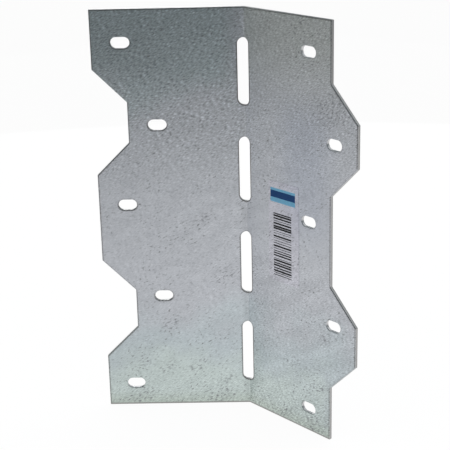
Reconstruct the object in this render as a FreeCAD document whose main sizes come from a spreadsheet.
import FreeCAD, Part
import math
import os
import Sketcher

# A sheet steel angle with one bend, punched flat and bent by hand to the skew of the joint it ties.
# +Z runs up along the bend. The header leg lies along X with its back towards +Y, and the joist leg
# turns forward from it by the bend angle. The origin is the middle of the box, on the lower edge.

doc = FreeCAD.newDocument("skewable_angle")

# Driving dimensions, in millimetres and degrees
sizes = doc.addObject("Spreadsheet::Sheet", "sizes")
driving_dimensions = [
    ("sheet_thickness", 1.2, "18 gauge steel with its zinc"),
    ("bend_angle", 47, "turn from one leg to the other"),
    ("bend_inner_radius", 1, "inside of the bend"),
    ("blank_height", 161.925, "length of the bend, 6 3/8 in"),
    ("leg_long", 57.15, "inside corner to a crest of the edge, 2 1/4 in"),
    ("leg_short", 44.45, "inside corner to the floor of a notch, 1 3/4 in"),
    ("notch_floor", 15.875, "height of a notch's floor, and of the tab that nests in it"),
    ("notch_ramp", 12.7, "height of a notch's sloping side"),
    ("corner_radius", 0.25, "rounding of the blank's cut corners"),
    ("slot_count", 4, "slots along the bend"),
    ("slot_length", 25.7, "one slot, end to end"),
    ("slot_width", 4.9, "one slot, measured round the inside corner"),
    ("lower_end_web", 10.6, "sheet left below the lowest slot"),
    ("upper_end_web", 11.3, "sheet left above the highest slot"),
    ("hole_length", 7.15, "nail hole, across the leg"),
    ("hole_width", 4.2, "nail hole, along the bend"),
    ("hole_setback", 11.1, "nail hole's middle to the edge beside it"),
    ("lower_hole_margin", 9.7, "lowest nail hole to the lower edge"),
    ("upper_hole_margin", 12.5, "highest nail hole to the upper edge"),
    ("middle_hole_rise", 5.05, "middle nail hole above the sheet's mid height"),
    ("edge_break", 0.15, "soft edge that the punch leaves on the inner faces' outlines"),
    ("label_width", 15.9, "film, across the leg"),
    ("label_height", 40, "film, along the bend"),
    ("label_thickness", 0.08, "film and adhesive"),
    ("label_corner", 1, "rounding of the film's corners"),
    ("label_inset", 12.5, "inside corner to the film's near edge"),
    ("label_base", 58.2, "lower edge of the sheet to the film's lower edge"),
]
for row, (alias, size, note) in enumerate(driving_dimensions, start=1):
    sizes.set(f"A{row}", alias)
    sizes.set(f"B{row}", str(size))
    sizes.set(f"C{row}", note)
    sizes.setAlias(f"B{row}", alias)
doc.recompute()

# Lengths that follow from the driving dimensions
BEND_SETBACK = "(sizes.bend_inner_radius * tan(sizes.bend_angle / 2))"
HALF_SLOT = "(sizes.slot_width / 2)"
SLOT_END_DROP = f"({HALF_SLOT} - sqrt({HALF_SLOT}^2 - {BEND_SETBACK}^2))"
SLOT_PITCH = (
    "((sizes.blank_height - sizes.lower_end_web - sizes.upper_end_web - sizes.slot_length)"
    " / (sizes.slot_count - 1))"
)
FIRST_WEB_MIDDLE = f"(sizes.lower_end_web + (sizes.slot_length + {SLOT_PITCH}) / 2)"
TOOTH_PITCH = f"(2 * {SLOT_PITCH})"
NOTCH_COUNT = "floor(sizes.slot_count / 2)"
CREST_HEIGHT = f"({TOOTH_PITCH} - sizes.notch_floor - 2 * sizes.notch_ramp)"
OUTER_HOLE_REACH = "(sizes.leg_long - sizes.hole_setback)"
INNER_HOLE_REACH = "(sizes.leg_short - sizes.hole_setback)"
LOW_HOLE = "sizes.lower_hole_margin"
MIDDLE_HOLE = "(sizes.blank_height / 2 + sizes.middle_hole_rise)"
HIGH_HOLE = "(sizes.blank_height - sizes.upper_hole_margin)"
HOLE_HEIGHTS = [
    LOW_HOLE,
    f"(({LOW_HOLE} + {MIDDLE_HOLE}) / 2)",
    MIDDLE_HOLE,
    f"(({MIDDLE_HOLE} + {HIGH_HOLE}) / 2)",
    HIGH_HOLE,
]

# How far each leg's sketches turn about the bend from the X axis
HEADER_TURN = "180"
JOIST_TURN = "sizes.bend_angle"

# A sketch's own origin, and the point numbers that constraints use
ORIGIN = (-1, 1)
X_AXIS, Y_AXIS = range(-1, -3, -1)
START, END, CENTRE = range(1, 4)

# Directions and depths under this count as level and as touching
LEVEL = 1e-6


def value_of(expression):
    return float(sizes.evalExpression(expression))


def origin_feature(body, role):
    return next(feature for feature in body.Origin.OriginFeatures if feature.Role == role)


def new_body(label):
    """A body drawn about the bend's inside corner, placed with the bent sheet's box over the origin."""
    body = doc.addObject("PartDesign::Body", label)
    body.Label = label
    reach_right = "sizes.leg_long * cos(sizes.bend_angle) + sizes.sheet_thickness * sin(sizes.bend_angle)"
    reach_forward = "sizes.leg_long * sin(sizes.bend_angle) - sizes.edge_break * cos(sizes.bend_angle)"
    body.setExpression("Placement.Base.x", f"(sizes.leg_long - ({reach_right})) / 2")
    body.setExpression("Placement.Base.y", f"({reach_forward} - sizes.sheet_thickness) / 2")
    return body


def section_sketch(body, name, height="0"):
    """A sketch across the bend, seen from above."""
    sketch = body.newObject("Sketcher::SketchObject", name)
    sketch.AttachmentSupport = [(origin_feature(body, "XY_Plane"), "")]
    sketch.MapMode = "FlatFace"
    sketch.setExpression("AttachmentOffset.Base.z", height)
    return sketch


def leg_sketch(body, name, turn):
    """A sketch on a leg's inner face: X runs out from the inside corner, and Y runs up the bend."""
    sketch = body.newObject("Sketcher::SketchObject", name)
    sketch.AttachmentSupport = [(origin_feature(body, "XZ_Plane"), "")]
    sketch.MapMode = "FlatFace"
    down_the_bend = FreeCAD.Vector(0, -1, 0)
    sketch.AttachmentOffset = FreeCAD.Placement(
        FreeCAD.Vector(), FreeCAD.Rotation(down_the_bend, value_of(turn))
    )
    sketch.setExpression("AttachmentOffset.Rotation.Angle", turn)
    return sketch


def drive(sketch, name, kind, *where, by):
    """Add a dimension to a sketch and tie it to an expression."""
    start_value = math.radians(value_of(by)) if kind == "Angle" else value_of(by)
    index = sketch.addConstraint(Sketcher.Constraint(kind, *where, start_value))
    sketch.renameConstraint(index, name)
    sketch.setExpression(f"Constraints.{name}", by)


def fix(sketch, kind, *where):
    sketch.addConstraint(Sketcher.Constraint(kind, *where))


def add_line(sketch, start, end):
    line = Part.LineSegment(FreeCAD.Vector(*start, 0), FreeCAD.Vector(*end, 0))
    return sketch.addGeometry(line, False)


def add_arc(sketch, centre, radius, first_degrees, last_degrees):
    circle = Part.Circle(FreeCAD.Vector(*centre, 0), FreeCAD.Vector(0, 0, 1), radius)
    arc = Part.ArcOfCircle(circle, math.radians(first_degrees), math.radians(last_degrees))
    return sketch.addGeometry(arc, False)


def add_loop(sketch, corners):
    """Straight lines from corner to corner, closed and joined end to end."""
    lines = [add_line(sketch, *pair) for pair in zip(corners, corners[1:] + corners[:1])]
    for line, following in zip(lines, lines[1:] + lines[:1]):
        fix(sketch, "Coincident", line, END, following, START)
    return lines


def pocket_through(body, sketch, name):
    """Cut a leg's sketch through the sheet, both ways from the inner face."""
    pocket = body.newObject("PartDesign::Pocket", name)
    pocket.Profile = sketch
    pocket.Type = "ThroughAll"
    pocket.SideType = "Symmetric"
    return pocket


def repeat_up_the_bend(body, originals, name, count, pitch):
    pattern = body.newObject("PartDesign::LinearPattern", name)
    pattern.Originals = originals
    pattern.Direction = (origin_feature(body, "Z_Axis"), [""])
    pattern.Mode = "Spacing"
    pattern.setExpression("Offset", pitch)
    pattern.setExpression("Occurrences", count)
    body.Tip = pattern
    return pattern


# The bent sheet, before it is punched


def bend_sheet(body):
    sketch = section_sketch(body, "bent_section")
    long_leg = value_of("sizes.leg_long")
    thickness = value_of("sizes.sheet_thickness")
    radius = value_of("sizes.bend_inner_radius")
    setback = value_of(BEND_SETBACK)
    bend = math.radians(value_of("sizes.bend_angle"))
    bend_centre = (-setback, -radius)
    first_degrees = 90 - math.degrees(bend)

    def on_joist_leg(along, depth):
        return (
            along * math.cos(bend) + depth * math.sin(bend),
            depth * math.cos(bend) - along * math.sin(bend),
        )

    header_inner = add_line(sketch, (-long_leg, 0), (-setback, 0))
    inner_arc = add_arc(sketch, bend_centre, radius, first_degrees, 90)
    joist_inner = add_line(sketch, on_joist_leg(setback, 0), on_joist_leg(long_leg, 0))
    joist_end = add_line(sketch, on_joist_leg(long_leg, 0), on_joist_leg(long_leg, thickness))
    joist_back = add_line(sketch, on_joist_leg(long_leg, thickness), on_joist_leg(setback, thickness))
    outer_arc = add_arc(sketch, bend_centre, radius + thickness, first_degrees, 90)
    header_back = add_line(sketch, (-setback, thickness), (-long_leg, thickness))
    header_end = add_line(sketch, (-long_leg, thickness), (-long_leg, 0))

    fix(sketch, "Tangent", header_inner, END, inner_arc, END)
    fix(sketch, "Tangent", inner_arc, START, joist_inner, START)
    fix(sketch, "Coincident", joist_inner, END, joist_end, START)
    fix(sketch, "Coincident", joist_end, END, joist_back, START)
    fix(sketch, "Tangent", joist_back, END, outer_arc, START)
    fix(sketch, "Tangent", outer_arc, END, header_back, START)
    fix(sketch, "Coincident", header_back, END, header_end, START)
    fix(sketch, "Coincident", header_end, END, header_inner, START)
    fix(sketch, "Coincident", inner_arc, CENTRE, outer_arc, CENTRE)
    fix(sketch, "PointOnObject", header_inner, START, X_AXIS)
    fix(sketch, "Horizontal", header_inner)
    fix(sketch, "Horizontal", header_back)
    fix(sketch, "Vertical", header_end)
    fix(sketch, "PointOnObject", *ORIGIN, joist_inner)
    fix(sketch, "Parallel", joist_inner, joist_back)
    fix(sketch, "Perpendicular", joist_inner, joist_end)
    drive(sketch, "bend", "Angle", joist_inner, by="-sizes.bend_angle")
    drive(sketch, "inner_radius", "Radius", inner_arc, by="sizes.bend_inner_radius")
    drive(sketch, "thickness", "DistanceY", *ORIGIN, header_back, START, by="sizes.sheet_thickness")
    drive(sketch, "header_reach", "DistanceX", header_inner, START, *ORIGIN, by="sizes.leg_long")
    drive(sketch, "joist_reach", "Distance", *ORIGIN, joist_inner, END, by="sizes.leg_long")

    pad = body.newObject("PartDesign::Pad", "bent_sheet")
    pad.Profile = sketch
    pad.setExpression("Length", "sizes.blank_height")
    return pad


# The zigzag edges: each blank's tabs are cut from the notches of the next one in the strip


def cut_edge(body, name, turn, floor_height, middle, count):
    """Trapezoids cut into a leg's outer edge, one above the other by the tooth pitch."""
    sketch = leg_sketch(body, f"{name}_outline", turn)
    short_leg = value_of("sizes.leg_short")
    long_leg = value_of("sizes.leg_long")
    half_floor = value_of(floor_height) / 2
    half_mouth = half_floor + value_of("sizes.notch_ramp")
    height = value_of(middle)

    corners = [
        (short_leg, height - half_floor),
        (short_leg, height + half_floor),
        (long_leg, height + half_mouth),
        (long_leg, height - half_mouth),
    ]
    floor, upper_ramp, mouth, lower_ramp = add_loop(sketch, corners)
    centre = sketch.addGeometry(Part.Point(FreeCAD.Vector(short_leg, height, 0)), True)
    fix(sketch, "Vertical", floor)
    fix(sketch, "Vertical", mouth)
    fix(sketch, "Equal", upper_ramp, lower_ramp)
    fix(sketch, "Symmetric", floor, START, floor, END, centre, START)
    drive(sketch, "floor_height", "DistanceY", floor, START, floor, END, by=floor_height)
    drive(sketch, "ramp_height", "DistanceY", upper_ramp, START, upper_ramp, END, by="sizes.notch_ramp")
    drive(sketch, "floor_reach", "DistanceX", *ORIGIN, floor, START, by="sizes.leg_short")
    drive(sketch, "mouth_reach", "DistanceX", *ORIGIN, mouth, START, by="sizes.leg_long")
    drive(sketch, "middle", "DistanceY", *ORIGIN, centre, START, by=middle)

    pocket = pocket_through(body, sketch, name)
    return repeat_up_the_bend(body, [pocket], f"{name}_row", count, TOOTH_PITCH)


def edges_through(shape, thickness_alias):
    """Straight level edges as long as the sheet is thick, which are its cut corners."""
    thickness = value_of(thickness_alias)
    return [
        f"Edge{number}"
        for number, edge in enumerate(shape.Edges, start=1)
        if isinstance(edge.Curve, Part.Line)
        and math.isclose(edge.Length, thickness, abs_tol=LEVEL)
        and abs(edge.tangentAt(edge.FirstParameter).z) < LEVEL
    ]


def round_corners(body, base, name, thickness_alias, radius_alias):
    doc.recompute()
    fillet = body.newObject("PartDesign::Fillet", name)
    fillet.Base = (base, edges_through(base.Shape, thickness_alias))
    fillet.setExpression("Radius", radius_alias)
    return fillet


# The slots along the bend, which let the sheet be bent by hand


def cut_slot_in_leg(body, name, turn):
    """Half a round-ended slot, from the bend's tangent line out to the slot's side."""
    sketch = leg_sketch(body, f"{name}_outline", turn)
    radius = value_of(HALF_SLOT)
    setback = value_of(BEND_SETBACK)
    low = value_of("sizes.lower_end_web") + radius
    high = low + value_of("sizes.slot_length") - 2 * radius
    rise = math.sqrt(radius**2 - setback**2)
    degrees_at_bend = math.degrees(math.atan2(rise, setback))

    side = add_line(sketch, (radius, low), (radius, high))
    upper_end = add_arc(sketch, (0, high), radius, 0, degrees_at_bend)
    bend_line = add_line(sketch, (setback, high + rise), (setback, low - rise))
    lower_end = add_arc(sketch, (0, low), radius, -degrees_at_bend, 0)
    fix(sketch, "Tangent", side, END, upper_end, START)
    fix(sketch, "Coincident", upper_end, END, bend_line, START)
    fix(sketch, "Coincident", bend_line, END, lower_end, START)
    fix(sketch, "Tangent", lower_end, END, side, START)
    fix(sketch, "PointOnObject", upper_end, CENTRE, Y_AXIS)
    fix(sketch, "PointOnObject", lower_end, CENTRE, Y_AXIS)
    fix(sketch, "Equal", upper_end, lower_end)
    fix(sketch, "Vertical", bend_line)
    low_centre = f"sizes.lower_end_web + {HALF_SLOT}"
    high_centre = f"sizes.lower_end_web + sizes.slot_length - {HALF_SLOT}"
    drive(sketch, "end_radius", "Radius", upper_end, by=HALF_SLOT)
    drive(sketch, "bend_setback", "DistanceX", *ORIGIN, bend_line, START, by=BEND_SETBACK)
    drive(sketch, "low_centre", "DistanceY", *ORIGIN, lower_end, CENTRE, by=low_centre)
    drive(sketch, "high_centre", "DistanceY", *ORIGIN, upper_end, CENTRE, by=high_centre)
    return pocket_through(body, sketch, name)


def cut_slot_in_bend(body, name):
    """The same slot between the two tangent lines, as a wedge that opens from the bend's centre."""
    sketch = section_sketch(body, f"{name}_outline", f"sizes.lower_end_web + {SLOT_END_DROP}")
    reach = "2 * (sizes.bend_inner_radius + sizes.sheet_thickness)"
    joist_side_angle = "90 - sizes.bend_angle"
    side_length = value_of(reach)
    direction = math.radians(value_of(joist_side_angle))
    centre = (-value_of(BEND_SETBACK), -value_of("sizes.bend_inner_radius"))
    on_header_side = (centre[0], centre[1] + side_length)
    on_joist_side = (
        centre[0] + side_length * math.cos(direction),
        centre[1] + side_length * math.sin(direction),
    )

    joist_side, _, header_side = add_loop(sketch, [centre, on_joist_side, on_header_side])
    fix(sketch, "Vertical", header_side)
    fix(sketch, "Equal", header_side, joist_side)
    drive(sketch, "joist_side_angle", "Angle", joist_side, by=joist_side_angle)
    drive(sketch, "reach", "Distance", header_side, by=reach)
    drive(sketch, "centre_setback", "DistanceX", joist_side, START, *ORIGIN, by=BEND_SETBACK)
    drive(sketch, "centre_depth", "DistanceY", joist_side, START, *ORIGIN, by="sizes.bend_inner_radius")

    pocket = body.newObject("PartDesign::Pocket", name)
    pocket.Profile = sketch
    pocket.Reversed = True
    pocket.setExpression("Length", f"sizes.slot_length - 2 * {SLOT_END_DROP}")
    return pocket


# The nail holes, each set back by the same distance from the edge beside it


def cut_nail_holes(body, name, turn, reaches):
    sketch = leg_sketch(body, f"{name}_outline", turn)
    radius = value_of("sizes.hole_width / 2")
    half_flat = "(sizes.hole_length - sizes.hole_width) / 2"
    for number, (reach, height) in enumerate(zip(reaches, HOLE_HEIGHTS), start=1):
        near = value_of(f"{reach} - {half_flat}")
        far = value_of(f"{reach} + {half_flat}")
        level = value_of(height)
        far_end = add_arc(sketch, (far, level), radius, -90, 90)
        top = add_line(sketch, (far, level + radius), (near, level + radius))
        near_end = add_arc(sketch, (near, level), radius, 90, 270)
        bottom = add_line(sketch, (near, level - radius), (far, level - radius))
        fix(sketch, "Tangent", far_end, END, top, START)
        fix(sketch, "Tangent", top, END, near_end, START)
        fix(sketch, "Tangent", near_end, END, bottom, START)
        fix(sketch, "Tangent", bottom, END, far_end, START)
        fix(sketch, "Equal", near_end, far_end)
        fix(sketch, "Horizontal", top)
        drive(sketch, f"radius_{number}", "Radius", far_end, by="sizes.hole_width / 2")
        drive(sketch, f"far_{number}", "DistanceX", *ORIGIN, far_end, CENTRE, by=f"{reach} + {half_flat}")
        drive(sketch, f"near_{number}", "DistanceX", *ORIGIN, near_end, CENTRE, by=f"{reach} - {half_flat}")
        drive(sketch, f"level_{number}", "DistanceY", *ORIGIN, far_end, CENTRE, by=height)
    return pocket_through(body, sketch, name)


# The soft edge that the punch draws round the blank and the nail holes, on the inner faces


def is_inner_face(face):
    """The faces inside the bend: two planes through the inside corner, and the bend's inner surface."""
    surface = face.Surface
    if isinstance(surface, Part.Plane):
        corner_depth = surface.projectPoint(FreeCAD.Vector(), "LowerDistance")
        return abs(surface.Axis.z) < LEVEL and corner_depth < LEVEL
    radius = value_of("sizes.bend_inner_radius")
    return isinstance(surface, Part.Cylinder) and math.isclose(surface.Radius, radius, abs_tol=LEVEL)


def break_punched_edges(body, base, name):
    doc.recompute()
    inner_faces = [face for face in base.Shape.Faces if is_inner_face(face)]
    punched_edges = []
    for number, edge in enumerate(base.Shape.Edges, start=1):
        inner_sides = sum(any(edge.isSame(other) for other in face.Edges) for face in inner_faces)
        if inner_sides == 1:
            punched_edges.append(f"Edge{number}")
    chamfer = body.newObject("PartDesign::Chamfer", name)
    chamfer.Base = (base, punched_edges)
    chamfer.setExpression("Size", "sizes.edge_break")
    return chamfer


# The printed film on the joist leg's inner face


def stick_label(body):
    sketch = leg_sketch(body, "label_outline", JOIST_TURN)
    near = value_of("sizes.label_inset")
    far = near + value_of("sizes.label_width")
    low = value_of("sizes.label_base")
    high = low + value_of("sizes.label_height")
    corners = [(near, low), (far, low), (far, high), (near, high)]
    lower, far_edge, upper, near_edge = add_loop(sketch, corners)
    fix(sketch, "Horizontal", lower)
    fix(sketch, "Horizontal", upper)
    fix(sketch, "Vertical", far_edge)
    fix(sketch, "Vertical", near_edge)
    drive(sketch, "inset", "DistanceX", *ORIGIN, lower, START, by="sizes.label_inset")
    drive(sketch, "base", "DistanceY", *ORIGIN, lower, START, by="sizes.label_base")
    drive(sketch, "width", "DistanceX", lower, START, lower, END, by="sizes.label_width")
    drive(sketch, "height", "DistanceY", far_edge, START, far_edge, END, by="sizes.label_height")
    film = body.newObject("PartDesign::Pad", "film")
    film.Profile = sketch
    film.setExpression("Length", "sizes.label_thickness")
    round_corners(body, film, "film_corners", "sizes.label_thickness", "sizes.label_corner")


# The two pieces

steel = new_body("steel_angle")
bend_sheet(steel)
cut_edge(steel, "header_notch", HEADER_TURN, "sizes.notch_floor", FIRST_WEB_MIDDLE, NOTCH_COUNT)
lowest_middle = f"{FIRST_WEB_MIDDLE} - {SLOT_PITCH}"
zigzag = cut_edge(steel, "joist_notch", JOIST_TURN, CREST_HEIGHT, lowest_middle, f"{NOTCH_COUNT} + 1")
round_corners(steel, zigzag, "blank_corners", "sizes.sheet_thickness", "sizes.corner_radius")
beside_crests_first = [OUTER_HOLE_REACH, INNER_HOLE_REACH] * 2 + [OUTER_HOLE_REACH]
beside_notches_first = [INNER_HOLE_REACH, OUTER_HOLE_REACH] * 2 + [INNER_HOLE_REACH]
cut_nail_holes(steel, "header_nail_holes", HEADER_TURN, beside_crests_first)
punched = cut_nail_holes(steel, "joist_nail_holes", JOIST_TURN, beside_notches_first)
break_punched_edges(steel, punched, "broken_edges")
slot_cuts = [
    cut_slot_in_leg(steel, "header_slot", HEADER_TURN),
    cut_slot_in_leg(steel, "joist_slot", JOIST_TURN),
    cut_slot_in_bend(steel, "bend_slot"),
]
repeat_up_the_bend(steel, slot_cuts, "slot_row", "sizes.slot_count", SLOT_PITCH)

label = new_body("clear_label")
stick_label(label)
doc.recompute()

# Nothing is written unless every feature holds and every cut takes sheet away

for item in doc.Objects:
    if "Invalid" in item.State or "Error" in item.State:
        raise RuntimeError(f"{item.Name} failed: {item.State}")
    if item.TypeId == "PartDesign::Pocket" and item.Shape.Volume >= item.BaseFeature.Shape.Volume:
        raise RuntimeError(f"{item.Name} cuts nothing")

pieces = [steel, label]
for piece in pieces:
    if piece.Shape.isNull() or not piece.Shape.isValid() or len(piece.Shape.Solids) != 1:
        raise RuntimeError(f"{piece.Label} is not one sound solid")

os.makedirs("parts", exist_ok=True)
for piece in pieces:
    piece.Shape.exportStep(f"parts/{piece.Label}.step")
    print(f"{piece.Label}: {piece.Shape.Volume:.1f} mm3, {piece.Shape.BoundBox}")
